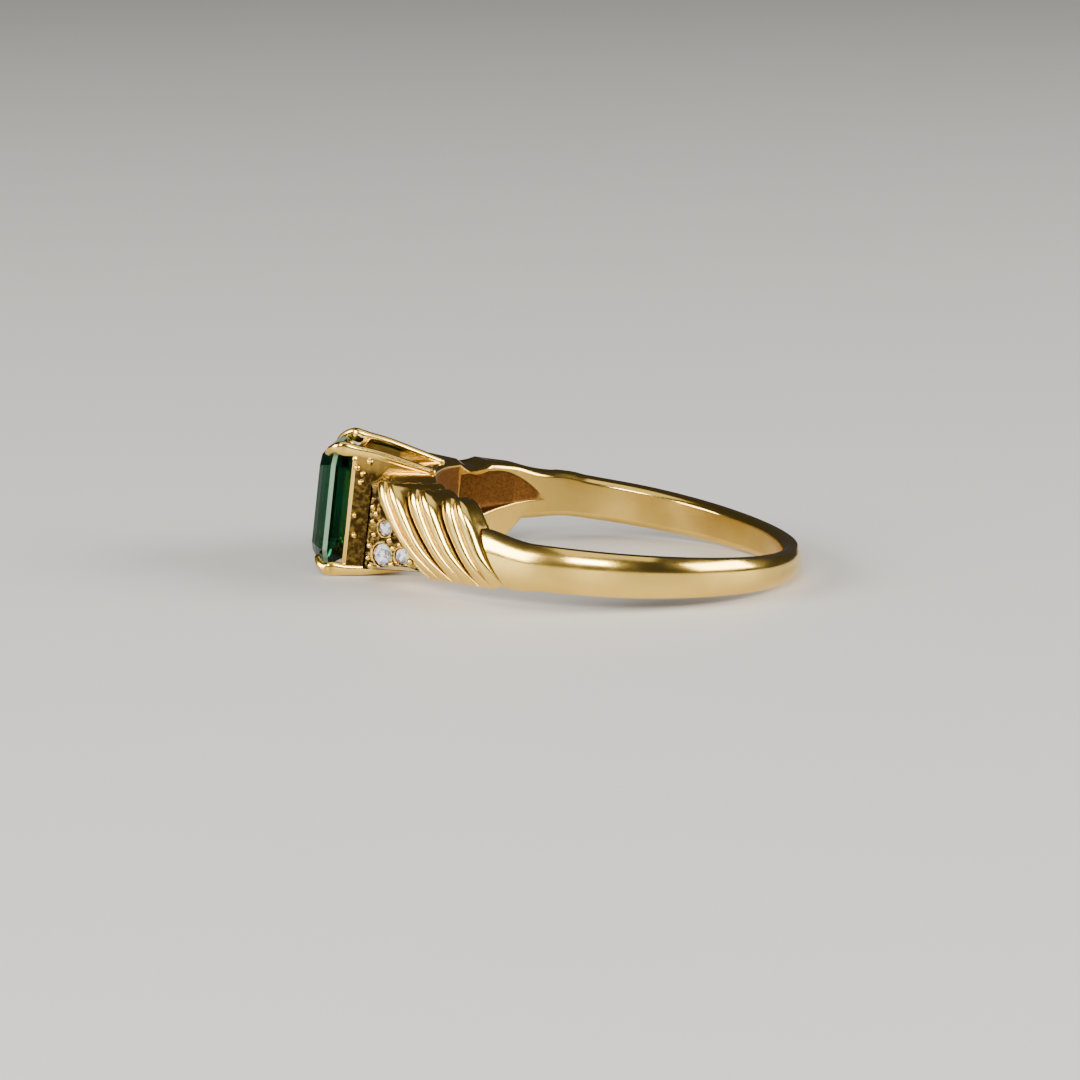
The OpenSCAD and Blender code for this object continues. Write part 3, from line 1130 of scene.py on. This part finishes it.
    def inner_side(self, face: OuterFace, row: int, pocket_w: np.ndarray) -> list[np.ndarray]:
        """Works out the section from one edge of the outer face to the pocket.

        Args:
            face: The outer face.
            row: Its row at that edge, 0 or -1.
            pocket_w: The heights of the pocket's edge on this side.

        Returns:
            The points of the shelf, of the rounded rim and of the hole's wall.
        """
        edge = face.point[:, row]
        edge_w, inwards = edge[:, 2:], -1 if row else 1
        angle = (face.top if row else face.low)[:, None]
        turn = np.linspace(0, np.pi / 2, self.rim_steps + 1)[None, :]
        rim_r = self.hole_r + self.rim[0] * (1 - np.sin(turn) ** self.rim_power)
        rim_w = self.rim[1] * (1 - np.cos(turn) ** self.rim_power)
        rim = around_hole(rim_r, angle, edge_w + inwards * rim_w)
        shelf = np.stack([mix(edge, rim[:, 0], k / 3) for k in (1, 2)], 1)
        share = np.linspace(0, 1, self.strip_rows + 1)[None, 1:-1]
        wall = around_hole(
            self.hole_r, mix(angle, face.middle[:, None], share),
            mix(edge_w + inwards * self.rim[1], pocket_w[:, None], share))
        return [shelf, rim, wall]

    def values(
        self, face: OuterFace, parts: list[np.ndarray], cast: np.ndarray,
    ) -> dict[str, np.ndarray]:
        """Works out the attributes of one half.

        Args:
            face: The outer face.
            parts: The points of each part of the section, in order.
            cast: How much of each point in the pocket is cast surface.

        Returns:
            The attributes by column and place round the section.
        """
        ends = np.cumsum([part.shape[1] for part in parts])
        face_end, shelf_end, rim_end, wall_end, pocket_end, bore_end = ends[:6]
        size = len(face.point), ends[-1]
        made = {k: np.zeros(size) for k in ("flute", "dome", "lobe", "across", "hollow", "field")}
        for key, column in face.columns.items():
            made[key][:, :shelf_end] = column[:, None]
        made["across"][:, :face_end] = 2 * cosine_steps(self.rows)[None, :] - 1
        made["across"][:, face_end:shelf_end] = 1.0
        # Painted shade over the field, fading towards the middle of the base.
        base_shade = np.linspace(1, self.base_shade, self.base_cols)
        shade = np.append(np.ones(self.field_cols), base_shade)
        made["field"][-len(shade):, :face_end] = self.field_shade * shade[:, None]
        made["hollow"][:, wall_end:pocket_end] = cast
        # The wall of the hole is satin, its darker colour partly painted shade.
        bore = made["hollow"][:, rim_end:bore_end]
        np.maximum(bore, self.bore_satin_and_shade, out=bore)
        bore[-(self.base_cols + 1):] = 1.0
        made["lift"] = np.zeros((*size, 3))
        made["lift"][:, :face_end] = face.lift * MM
        for k, share in enumerate((2 / 3, 1 / 3)):
            made["lift"][:, face_end + k] = face.lift[:, -1] * share * MM
        return made

    def half(self, side: Side) -> tuple[np.ndarray, dict[str, np.ndarray]]:
        """Builds one half as closed sections.

        Args:
            side: Which half.

        Returns:
            Points by column and place round the section, and their attributes.
        """
        face = self.outer_face(side)
        depth = self.pocket.depth(face.middle, self.edge_r, self.hole_r, self.join)
        depths, heights, cast = self.pocket.profile(face.middle, depth)
        pocket = around_hole(self.hole_r + depths, face.middle[:, None], heights)
        upper = self.inner_side(face, -1, heights[:, 0])
        lower = self.inner_side(face, 0, heights[:, -1])
        parts = [face.point, *upper, pocket, *(part[:, ::-1] for part in reversed(lower))]
        return np.concatenate(parts, 1), self.values(face, parts, cast)

    def sheet(self) -> bpy.types.Object:
        """Builds the whole shank as one closed mesh, its outer face still without relief.

        Returns:
            The shank.
        """
        points, faces, values = [], [], {}
        start = 0
        for side in Side:
            p, v = self.half(side)
            columns, around = p.shape[:2]
            if side is Side.FAR:
                turn = np.array([1.0, -1.0, -1.0])
                p, v["lift"] = p * turn, v["lift"] * turn
            faces += [[n + start for n in f] for f in loop_faces(columns, around)]
            start += columns * around
            points.append(p.reshape(-1, 3))
            for key, value in v.items():
                values.setdefault(key, []).append(value.reshape(columns * around, -1).squeeze())
        obj = new_object(
            "shank", np.concatenate(points), faces,
            {k: np.concatenate(parts) for k, parts in values.items()})
        with editing(obj) as bm:
            bmesh.ops.remove_doubles(bm, verts=bm.verts, dist=1e-7)
            bmesh.ops.dissolve_degenerate(bm, edges=bm.edges, dist=1e-8)
            if bm.calc_volume(signed=True) < 0:
                bmesh.ops.reverse_faces(bm, faces=bm.faces)
            log.info("shank: %d open edges", sum(1 for e in bm.edges if not e.is_manifold))
        return obj

    def relief(self, obj: bpy.types.Object, gold: bpy.types.Material) -> None:
        """Raises the flutes and the band's dome along the outer face.

        Args:
            obj: The plain sheet, with its attributes.
            gold: The finish.
        """
        t = FormTree("flutes_and_dome", {
            "Flute height": self.flute_h, "Edge rounding": self.edge_round,
            "Pair share": self.pair_share, "Dome height": self.dome,
            "Dome power": self.dome_power})
        lobe, across, flute, dome = (t.read(k) for k in ("lobe", "across", "flute", "dome"))
        part = t.math("FRACT", lobe)
        ridge = mix(part.arch(), t.math("FRACT", 2 * part).arch(), t.size("Pair share"))
        up, down = across.at_least(0.0), (0 - across).at_least(0.0)
        height = t.size("Flute height")
        up_power, down_power = self.edge_powers
        fade = 1 - t.size("Edge rounding") / height * up ** up_power - down ** down_power
        bulge = t.size("Dome height") * (1 - abs(across) ** t.size("Dome power"))
        raised = t.shifted(
            t.entry, t.read("lift", "FLOAT_VECTOR"), flute * height * ridge * fade + dome * bulge)
        # Painted shade in the bottoms of the flutes.
        groove = flute * (1 - ridge.ramp(*self.groove_span)) * (1 - down ** self.groove_power)
        kept = t.add("GeometryNodeStoreNamedAttribute", {"data_type": "FLOAT", "domain": "POINT"},
                     {"Geometry": raised, "Name": "groove", "Value": groove})
        t.grow(obj, kept, gold)

    def add_opening(self, bm: bmesh.types.BMesh) -> None:
        """Adds the shape of the opening under the tourmaline to an empty mesh.

        Args:
            bm: The mesh.
        """
        across, along, end = (v * MM for v in self.light_hole)
        inner = (self.hole_r - 1) * MM
        made = bmesh.ops.create_cube(bm, size=1.0)["verts"]
        bmesh.ops.scale(bm, vec=(end - inner, across, along), verts=made)
        bmesh.ops.translate(bm, vec=(-(end + inner) / 2, 0, 0), verts=made)
        outward = [e for e in bm.edges if abs((e.verts[0].co - e.verts[1].co).x) > 0.1 * MM]
        bmesh.ops.bevel(
            bm, geom=outward, offset=self.light_corner * MM, segments=self.corner_steps,
            affect="EDGES", profile=0.5)

    def opening(self) -> bpy.types.Object:
        """Makes the shape of the opening under the tourmaline.

        Returns:
            The shape.
        """
        obj = new_object("opening")
        with editing(obj) as bm:
            self.add_opening(bm)
        return obj

    def build(self, gold: bpy.types.Material, stones: "SmallStones") -> None:
        """Builds the shank, cuts its openings and hands it over.

        Args:
            gold: The finish.
            stones: The small stones that are let into it.
        """
        obj = self.sheet()
        self.relief(obj, gold)
        cutters = new_object("cutters")
        with editing(cutters) as bm:
            self.add_opening(bm)
            stones.add_seats(bm, self)
        cut_away(obj, cutters)
        hand_over(obj, self.sharp)


@dataclass
class SmallStones:
    """Three small clear stones in each shoulder, with the grains that hold them."""

    largest: float = 1.05
    gap: float = 0.05
    # Distance from the join, height, and width against the largest stone's.
    places: tuple[Triple, ...] = ((6.75, -1.32, 1.0), (5.6, -1.15, 0.7), (6.75, -0.02, 0.68))
    # The seats' rings: share of their radius, and height off the shoulder's floor.
    seat_rings: tuple[tuple[float, float], ...] = ((0.3, -0.62), (1.0, -0.16), (1.0, 0.8))
    seat_sides: int = 48
    # The grains: distance from the join and height.
    grains: tuple[tuple[float, float], ...] = (
        (7.5, 0.9), (7.3, 0.6), (7.45, 0.2), (7.3, -0.42), (6.35, -0.5), (6.1, -0.85),
        (5.75, -0.6), (7.48, -1.0), (7.5, -1.6), (7.3, -1.95), (6.12, -1.64), (5.05, -1.28))
    # Those on the cheeks: distance from the hole's centre, sideways, height.
    cheek_grains: tuple[Triple, ...] = (
        (12.24, 1.99, 2.14), (11.93, 1.95, 1.88), (11.98, 1.96, 1.46), (11.64, 1.92, 2.5),
        (12.02, 1.97, -1.17), (12.1, 1.98, -0.2))
    # Their radius, the range of their sizes, and how deep and fine their hammering is.
    grain_r: float = 0.17
    grain_scales: tuple[float, float] = (0.88, 1.06)
    grain_levels: int = 4
    hammering: float = 0.016
    hammer_scale: float = 6000.0
    seed: int = 7
    sharp: float = 60.0
    finish: GemFinish = GemFinish("diamond", (0.97, 0.98, 1.0), 2.42, sparkle=0.6)

    def seats(self, shank: Shank) -> list[tuple[Matrix, float]]:
        """Finds the seats.

        Args:
            shank: The piece that the stones are let into.

        Returns:
            For each seat its place, with Z out of the face, and its radius in millimetres.
        """
        made = []
        out = polar(1.0, shank.join)
        turn = Vector((out[0], out[1], 0)).to_track_quat("Z", "Y").to_matrix().to_4x4()
        for along, height, share in self.places:
            at = shank.face_point(np.array(along), np.array(height), shank.floor_off)
            near = Matrix.Translation(Vector(at) * MM) @ turn
            far = Matrix.Rotation(math.pi, 4, "X") @ near
            radius = share * self.largest / 2 + self.gap
            made += [(near, radius), (far, radius)]
        return made

    def add_seats(self, bm: bmesh.types.BMesh, shank: Shank) -> None:
        """Adds the seats' shapes to a mesh.

        Args:
            bm: The mesh.
            shank: The piece that the stones are let into.
        """
        turn = 2 * math.pi * np.arange(self.seat_sides) / self.seat_sides
        for place, radius in self.seats(shank):
            loops = []
            for share, height in self.seat_rings:
                r = radius * share
                flat = [Vector((r * math.cos(a), r * math.sin(a), height)) * MM for a in turn]
                loops.append([bm.verts.new(place @ p) for p in flat])
            for lower, upper in zip(loops, loops[1:]):
                for quad in zip(lower, lower[1:] + lower[:1], upper[1:] + upper[:1], upper):
                    bm.faces.new(quad)
            bm.faces.new(loops[0][::-1])
            bm.faces.new(loops[-1])

    def build_grains(self, shank: Shank, gold: bpy.types.Material) -> None:
        """Sets a small gold bead on each grain's place, on both shoulders.

        Args:
            shank: The piece that carries them.
            gold: The finish.
        """
        points = np.concatenate([
            shank.face_point(*np.array(self.grains).T, shank.floor_off),
            np.array(self.cheek_grains) * np.array([-1, -1, 1])])
        obj = new_object("setting_grains", points)
        smallest, largest = self.grain_scales
        t = FormTree("grains_on_places", {
            "Grain radius": self.grain_r * MM, "Smallest": smallest, "Largest": largest,
            "Hammering": self.hammering * MM, "Seed": self.seed})
        ball = t.add("GeometryNodeMeshIcoSphere", None,
                     {"Radius": t.size("Grain radius"), "Subdivisions": self.grain_levels})
        scale = t.add("FunctionNodeRandomValue", {"data_type": "FLOAT"},
                      {"Min_001": t.size("Smallest"), "Max_001": t.size("Largest"),
                       "Seed": t.size("Seed")}).out("Value_001")
        set_on = t.add("GeometryNodeInstanceOnPoints", None,
                       {"Points": t.entry, "Instance": ball, "Scale": scale})
        real = t.add("GeometryNodeRealizeInstances", None, {0: set_on})
        noise = t.add("ShaderNodeTexNoise", None, {"Scale": self.hammer_scale, "Detail": 1.0})
        push = (noise - 0.5) * t.size("Hammering") * 2
        hammered = t.shifted(real, t.add("GeometryNodeInputNormal"), push)
        t.grow(obj, t.half_turned(hammered), gold)
        hand_over(obj, self.sharp)

    def dress(self) -> None:
        """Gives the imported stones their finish."""
        material = self.finish.material()
        for side in Side:
            for size in ("large", "middle", "small"):
                dress_node(f"diamond_{side.name.lower()}_{size}", material)


@dataclass
class Arm:
    """One claw on its arm, from the root on the head's base to the tip over the stone."""

    # Distance from the hole's centre, sideways, height of the middle, height, thickness, lean.
    table: tuple[tuple[float, ...], ...] = (
        (8.6, 1.5, 2.3, 0.38, 0.34, 0), (10.0, 1.62, 2.58, 0.48, 0.34, 0),
        (11.3, 1.76, 2.84, 0.52, 0.34, 0), (12.3, 1.88, 2.94, 0.58, 0.36, 0),
        (12.85, 1.93, 2.97, 0.72, 0.36, 0), (13.15, 2.00, 2.99, 0.66, 0.36, 0),
        (13.42, 1.95, 2.94, 0.48, 0.36, 20), (13.63, 1.81, 2.78, 0.40, 0.32, 45),
        (13.77, 1.62, 2.56, 0.30, 0.24, 60))
    # The way across the arm, level with the finger hole's plane.
    across: Triple = (-0.11, 0.99, 0.0)
    squareness: float = 0.85
    # How far each end is rounded, in degrees of a circle.
    cap_turn: float = 88.0
    steps: int = 8
    around: int = 28
    cap_steps: int = 5

    def stations(self) -> np.ndarray:
        """Puts smooth rows between the table's own.

        Returns:
            All rows.
        """
        rows = np.array(self.table, float)
        ends = np.vstack([2 * rows[0] - rows[1], rows, 2 * rows[-1] - rows[-2]])
        made = []
        for k in range(1, len(ends) - 2):
            p0, p1, p2, p3 = ends[k - 1:k + 3]
            for s in np.arange(self.steps) / self.steps:
                made.append(0.5 * (2 * p1 + (p2 - p0) * s + (2 * p0 - 5 * p1 + 4 * p2 - p3) * s ** 2
                                   + (3 * p1 - p0 - 3 * p2 + p3) * s ** 3))
        return np.array(made + [rows[-1]])

    def sections(self) -> np.ndarray:
        """Works out the arm's sections, with a rounded cap at each end.

        Returns:
            Points by section and place round it.
        """
        rows = self.stations()
        centre = rows[:, :3] * np.array([-1, -1, 1])
        lean = np.radians(rows[:, 5])
        up = np.stack([-np.sin(lean), 0 * lean, np.cos(lean)], 1)
        phi = 2 * np.pi * np.arange(self.around) / self.around
        a, b = (squared_off(wave(phi), self.squareness)[None, :, None] for wave in (np.cos, np.sin))
        tall, thick = (rows[:, k, None, None] / 2 for k in (3, 4))
        body = centre[:, None] + up[:, None] * tall * a + np.array(self.across) * thick * b
        caps = []
        for end, inner in ((0, 1), (-1, -2)):
            way = centre[end] - centre[inner]
            way = way / np.linalg.norm(way) * rows[end, 4] * 0.5
            turn = np.radians(np.linspace(0, self.cap_turn, self.cap_steps + 1)[1:])
            caps.append([centre[end] + way * math.sin(x)
                         + (body[end] - centre[end]) * math.cos(x) for x in turn])
        return np.concatenate([caps[0][::-1], body, caps[1]])

    def build(self, gold: bpy.types.Material) -> None:
        """Builds one arm, sets it at the four corners and hands the four over.

        Args:
            gold: The finish.
        """
        sections = self.sections()
        first = range(self.around)
        last = [(len(sections) - 1) * self.around + k for k in first]
        faces = [*loop_faces(len(sections), self.around), first[::-1], last]
        obj = new_object("claws", sections, faces)
        face_outwards(obj)
        t = FormTree("four_corners", {"Mirror": -1.0})
        t.grow(obj, t.half_turned(t.with_mirror_image()), gold)
        hand_over(obj)


@dataclass
class Cheeks:
    """The thin wall on each side of the head, from the upper arm down to the lower one."""

    thickness: float = 0.24
    ends_at: float = 12.31
    # How satin it is, how dark its painted shade is, and the share of its height above which it is
    # lighter, a painted pool of light under the arm.
    skin: float = 0.5
    shade: float = 0.95
    lit_from: float = 0.66
    lit_run: float = 0.14
    lit_share: float = 0.6
    grid: int = 24

    def build(self, gold: bpy.types.Material, arm: Arm, shank: Shank) -> None:
        """Builds both walls between the arms and hands them over.

        Args:
            gold: The finish.
            arm: The arm that they follow.
            shank: The piece whose opening cuts them.
        """
        rows = arm.stations()
        rows = rows[rows[:, 0] <= self.ends_at]
        height = np.linspace(1, -1, self.grid + 1)
        points = []
        for row in rows:
            for side, levels in ((-1, height[::-1]), (1, height)):
                points += [(-row[0], -row[1] + side * self.thickness / 2, level * row[2])
                           for level in levels]
        points = np.array(points)
        around = 2 * (self.grid + 1)
        faces = loop_faces(len(rows), around)
        last = (len(rows) - 1) * around
        for k in range(self.grid):
            ring = (k, k + 1, around - 2 - k, around - 1 - k)
            faces += [ring[::-1], [last + n for n in ring]]
        # Painted shade over the cheek, lightened near its top as painted light under the arm.
        up = points[:, 2] / np.repeat(rows[:, 2], around)
        bright = ease((up - self.lit_from) / self.lit_run)
        obj = new_object("cheeks", points, faces, {
            "hollow": np.full(len(points), self.skin),
            "field": self.shade * (1 - self.lit_share * bright)})
        face_outwards(obj)
        cut_away(obj, shank.opening())
        t = FormTree("both_cheeks", {"Mirror": -1.0})
        t.grow(obj, t.with_mirror_image(), gold)
        hand_over(obj)


@dataclass
class SeatRail:
    """The bevelled rail round the tourmaline, which the claws stand on."""

    # Distances of its inner and outer faces from the hole's centre, and its half width and length.
    inner_u: float = 12.22
    outer_u: float = 12.5
    half: tuple[float, float] = (1.98, 2.98)
    width: float = 0.4
    corner: float = 0.35
    corner_steps: int = 8
    edge: float = 0.06
    edge_steps: int = 4

    def build(self, gold: bpy.types.Material) -> None:
        """Sweeps the rail's section round its path and hands it over.

        Args:
            gold: The finish.
        """
        t = FormTree("rail_round_stone", {
            "Length": (2 * self.half[1] - self.width) * MM,
            "Breadth": (2 * self.half[0] - self.width) * MM,
            "Bar width": self.width * MM, "Bar height": (self.outer_u - self.inner_u) * MM,
            "Corner radius": self.corner * MM, "Edge radius": self.edge * MM,
            "Distance": -(self.outer_u + self.inner_u) / 2 * MM})

        def rounded(width: str, height: str, radius: str, count: int) -> Sock:
            """Draws a rectangle with rounded corners.

            Args:
                width: The named input that holds its width.
                height: The one that holds its height.
                radius: The one that holds its corners' radius.
                count: The steps of each corner.

            Returns:
                The curve.
            """
            flat = t.add("GeometryNodeCurvePrimitiveQuadrilateral", {"mode": "RECTANGLE"},
                         {"Width": t.size(width), "Height": t.size(height)})
            return t.add(
                "GeometryNodeFilletCurve", {"mode": "POLY"},
                {"Curve": flat, "Radius": t.size(radius), "Count": count, "Limit Radius": True})

        path = rounded("Length", "Breadth", "Corner radius", self.corner_steps)
        bar = rounded("Bar width", "Bar height", "Edge radius", self.edge_steps)
        swept = t.add("GeometryNodeCurveToMesh", None, {"Curve": path, "Profile Curve": bar})
        turned = t.placed(swept, Rotation=(math.pi / 2, 0.0, math.pi / 2))
        laid = t.placed(
            turned, Rotation=(math.pi / 2, 0.0, 0.0), Translation=t.vector(t.size("Distance")))
        obj = new_object("seat_rail")
        t.grow(obj, laid, gold)
        hand_over(obj)


@dataclass
class Tourmaline:
    """The step-cut stone, as packed, with its finish."""

    finish: GemFinish = GemFinish(
        "tourmaline", (0.003, 0.037, 0.016), 1.63, sheen=(0.08, 0.42, 0.17),
        girdle=(-13.5, -13.28))

    def dress(self) -> None:
        """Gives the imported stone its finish."""
        dress_node("tourmaline", self.finish.material())


@dataclass(frozen=True)
class Softbox:
    """A rectangular light that faces the ring, its places and sizes in metres."""

    azimuth: float
    elevation: float
    distance: float
    width: float
    height: float
    power: float
    colour: Triple = (1.0, 0.97, 0.92)

    def place(self, name: str) -> None:
        """Adds the light to the scene.

        Args:
            name: The light's name.
        """
        light = bpy.data.lights.new(name, "AREA")
        light.shape, light.size, light.size_y = "RECTANGLE", self.width, self.height
        light.energy, light.color = self.power, self.colour
        a, e = math.radians(self.azimuth), math.radians(self.elevation)
        out = Vector((math.sin(a) * math.cos(e), -math.cos(a) * math.cos(e), math.sin(e)))
        obj = linked(name, light)
        obj.location = out * self.distance
        obj.rotation_euler = out.to_track_quat("Z", "Y").to_euler()


@dataclass
class Studio:
    """Floor, world, lights and the camera at the photograph's angle."""

    # The camera's lens and film in millimetres, its place in metres and its two angles.
    lens: float = 151.557
    film: float = 36.0
    camera_at: Triple = (0.02497, -0.21552, 0.04439)
    pitch: float = 11.145
    turn: float = 6.83
    clip: tuple[float, float] = (0.01, 10.0)
    floor_half: float = 1500.0
    world: Triple = (0.05, 0.05, 0.055)
    boxes: tuple[Softbox, ...] = (
        Softbox(-54, 19, 0.5, 0.27, 0.21, 4.0),
        Softbox(-2, 26, 0.5, 0.18, 0.11, 2.3),
        Softbox(84, 23, 0.5, 0.37, 0.19, 3.7),
        Softbox(12, 66, 0.5, 0.45, 0.4, 0.7),
    )

    def build(self) -> None:
        """Builds the stage and sets the scene's camera."""
        scene = bpy.context.scene
        corners = self.floor_half * np.array([(-1, -1, 0), (1, -1, 0), (1, 1, 0), (-1, 1, 0)])
        floor = new_object("floor", corners, [(0, 1, 2, 3)])
        floor.data.materials.append(FloorFinish().material())
        world = bpy.data.worlds.new("studio")
        world.use_nodes = True
        world.node_tree.nodes["Background"].inputs["Color"].default_value = (*self.world, 1.0)
        scene.world = world
        for index, box in enumerate(self.boxes):
            box.place(f"softbox_{index}")
        data = bpy.data.cameras.new("camera")
        data.lens, data.sensor_width = self.lens, self.film
        data.clip_start, data.clip_end = self.clip
        camera = linked("camera", data)
        camera.location = self.camera_at
        camera.rotation_euler = (math.radians(90 - self.pitch), 0.0, math.radians(self.turn))
        scene.camera = camera
        log.info("studio: %d lights", len(self.boxes))


def main() -> None:
    """Builds every piece in order."""
    logging.basicConfig(level=logging.INFO, format="%(name)s: %(message)s")
    gold = GoldFinish().material()
    shank, stones, arm = Shank(), SmallStones(), Arm()
    shank.build(gold, stones)
    arm.build(gold)
    Cheeks().build(gold, arm, shank)
    SeatRail().build(gold)
    stones.build_grains(shank, gold)
    stones.dress()
    Tourmaline().dress()
    Studio().build()


if __name__ == "__main__":
    main()
